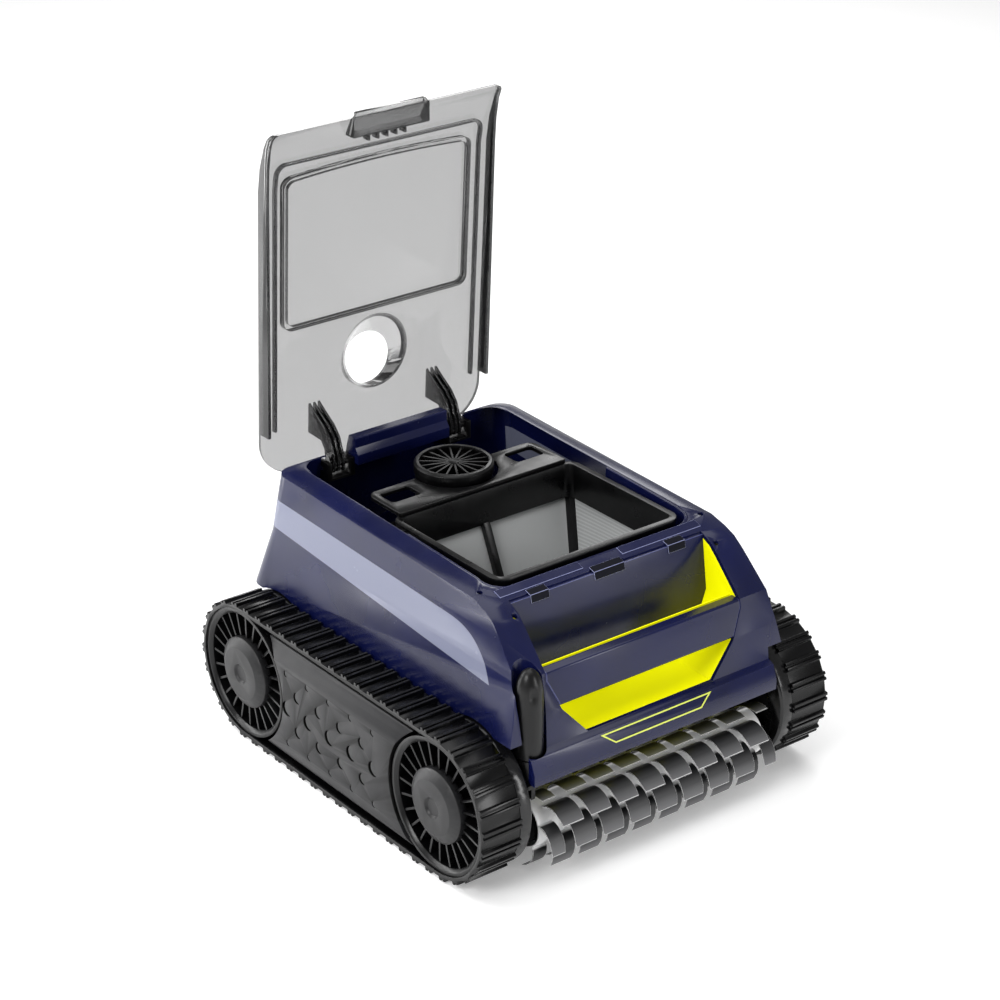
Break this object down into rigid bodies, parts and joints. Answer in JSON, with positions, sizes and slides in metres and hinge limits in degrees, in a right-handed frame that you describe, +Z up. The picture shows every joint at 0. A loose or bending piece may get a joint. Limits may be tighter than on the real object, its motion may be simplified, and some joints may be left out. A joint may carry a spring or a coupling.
{
  "type": "pool cleaner",
  "caption": "Cordless tracked pool cleaner with a navy shell, yellow-lined carry pocket, roller brushes, lift-out filter basket and a hinged smoked lid standing open.",
  "frame": {"origin": "middle of the footprint on the floor", "axes": "+Z up, front brush and carry handle towards -Y, left track at -X"},
  "size_m": [0.4, 0.4526, 0.571],
  "materials": {
    "navy_shell": "moulded, satin gloss navy",
    "yellow_liner": "moulded, bright yellow",
    "black_plastic": "moulded, fine satin black",
    "charcoal_cover": "moulded, charcoal",
    "belt_rubber": "moulded black rubber",
    "ring_plastic": "glossy dark ring",
    "smoked_lid": "clear smoked polycarbonate",
    "mesh_cloth": "woven grey nylon mesh",
    "brush_rubber": "grey moulded rubber flaps",
    "seal_rubber": "soft black seal",
    "steel": "stainless steel",
    "badge_print": "thin raised yellow-green outline",
    "battery_wrap": "shrink-wrapped cell pack",
    "motor_can": "plated steel motor can",
    "board": "green circuit board"
  },
  "bodies": {
    "body": {"axles": "steel", "badge_outline": "badge_print", "battery_pack": "battery_wrap", "belly_plate": "black_plastic", "brush_bushes": "black_plastic", "carry_handle": "navy_shell", "charge_socket": "black_plastic", "chassis_tub": "black_plastic", "control_board": "board", "filter_bay": "navy_shell", "front_wall": "navy_shell", "hinge_brackets": "black_plastic", "hinge_pins": "steel", "inlet_duct": "black_plastic", "motor_block": "black_plastic", "motor_block_cover": "black_plastic", "outlet_duct": "black_plastic", "outlet_grille": "black_plastic", "pump_motor": "motor_can", "scoop_liner": "yellow_liner", "screws": "steel", "side_cover_left": "charcoal_cover", "side_cover_right": "charcoal_cover", "track_belt_left": "belt_rubber", "track_belt_right": "belt_rubber", "track_frame_left": "black_plastic", "track_frame_right": "black_plastic", "traction_motor_left": "motor_can", "traction_motor_right": "motor_can", "upper_shell": "navy_shell"},
    "wheel_front_left_body": {"wheel_front_left": "black_plastic", "hub_cap_front_left": "charcoal_cover", "drive_ring_front_left": "ring_plastic"},
    "wheel_front_right_body": {"wheel_front_right": "black_plastic", "hub_cap_front_right": "charcoal_cover", "drive_ring_front_right": "ring_plastic"},
    "wheel_rear_left_body": {"wheel_rear_left": "black_plastic", "hub_cap_rear_left": "charcoal_cover", "drive_ring_rear_left": "ring_plastic"},
    "wheel_rear_right_body": {"wheel_rear_right": "black_plastic", "hub_cap_rear_right": "charcoal_cover", "drive_ring_rear_right": "ring_plastic"},
    "pinion_left_body": {"drive_pinion_left": "black_plastic"},
    "pinion_right_body": {"drive_pinion_right": "black_plastic"},
    "front_brush": {"front_brush_core": "black_plastic", "front_brush_flaps": "brush_rubber"},
    "rear_brush": {"rear_brush_core": "black_plastic", "rear_brush_flaps": "brush_rubber"},
    "pump_impeller": {"impeller": "black_plastic"},
    "lid": {"lid_panel": "smoked_lid", "lid_window": "smoked_lid", "lid_port": "smoked_lid", "lid_seal": "seal_rubber", "lid_grip": "smoked_lid", "hinge_arms": "smoked_lid"},
    "filter_basket": {"basket_frame": "black_plastic", "basket_mesh": "mesh_cloth", "basket_handle": "black_plastic"},
    "flap": {"inlet_flap": "black_plastic"},
    "plug_cap": {"charge_cap": "black_plastic"}
  },
  "joints": [
    {"name": "wheel_rear_left_spin", "type": "hinge", "parent": "body", "child": "wheel_rear_left_body", "pos_m": [-0.1765, 0.148, 0.07], "axis": [1, 0, 0], "continuous": true},
    {"name": "wheel_front_left_spin", "type": "hinge", "parent": "body", "child": "wheel_front_left_body", "pos_m": [-0.1765, -0.148, 0.07], "axis": [1, 0, 0], "continuous": true},
    {"name": "pinion_left_spin", "type": "hinge", "parent": "body", "child": "pinion_left_body", "pos_m": [-0.145, 0.112, 0.07], "axis": [1, 0, 0], "continuous": true},
    {"name": "wheel_rear_right_spin", "type": "hinge", "parent": "body", "child": "wheel_rear_right_body", "pos_m": [0.1765, 0.148, 0.07], "axis": [1, 0, 0], "continuous": true},
    {"name": "wheel_front_right_spin", "type": "hinge", "parent": "body", "child": "wheel_front_right_body", "pos_m": [0.1765, -0.148, 0.07], "axis": [1, 0, 0], "continuous": true},
    {"name": "pinion_right_spin", "type": "hinge", "parent": "body", "child": "pinion_right_body", "pos_m": [0.145, 0.112, 0.07], "axis": [1, 0, 0], "continuous": true},
    {"name": "front_brush_spin", "type": "hinge", "parent": "body", "child": "front_brush", "pos_m": [0, -0.184, 0.046], "axis": [1, 0, 0], "continuous": true},
    {"name": "rear_brush_spin", "type": "hinge", "parent": "body", "child": "rear_brush", "pos_m": [0, 0.184, 0.046], "axis": [1, 0, 0], "continuous": true},
    {"name": "impeller_spin", "type": "hinge", "parent": "body", "child": "pump_impeller", "pos_m": [0, 0.083, 0.199], "axis": [0, 0, 1], "continuous": true},
    {"name": "lid_hinge", "type": "hinge", "parent": "body", "child": "lid", "pos_m": [0, 0.176, 0.236], "axis": [1, 0, 0], "range_deg": [0, 87]},
    {"name": "basket_lift", "type": "slide", "parent": "body", "child": "filter_basket", "axis": [0, 0, -1], "range_m": [-0.2, 0]},
    {"name": "inlet_flap_hinge", "type": "hinge", "parent": "body", "child": "flap", "pos_m": [0, -0.017, 0.105], "axis": [-1, 0, 0], "range_deg": [0, 45]},
    {"name": "plug_cap_pull", "type": "slide", "parent": "body", "child": "plug_cap", "axis": [0, 0, 1], "range_m": [0, 0.06]}
  ],
  "couplings": [
    {"joint": "wheel_front_left_spin", "follows": "wheel_rear_left_spin", "ratio": 1},
    {"joint": "pinion_left_spin", "follows": "wheel_rear_left_spin", "ratio": 4},
    {"joint": "wheel_front_right_spin", "follows": "wheel_rear_right_spin", "ratio": 1},
    {"joint": "pinion_right_spin", "follows": "wheel_rear_right_spin", "ratio": 4},
    {"joint": "front_brush_spin", "follows": "wheel_rear_left_spin", "ratio": 2},
    {"joint": "rear_brush_spin", "follows": "wheel_rear_right_spin", "ratio": 2}
  ]
}
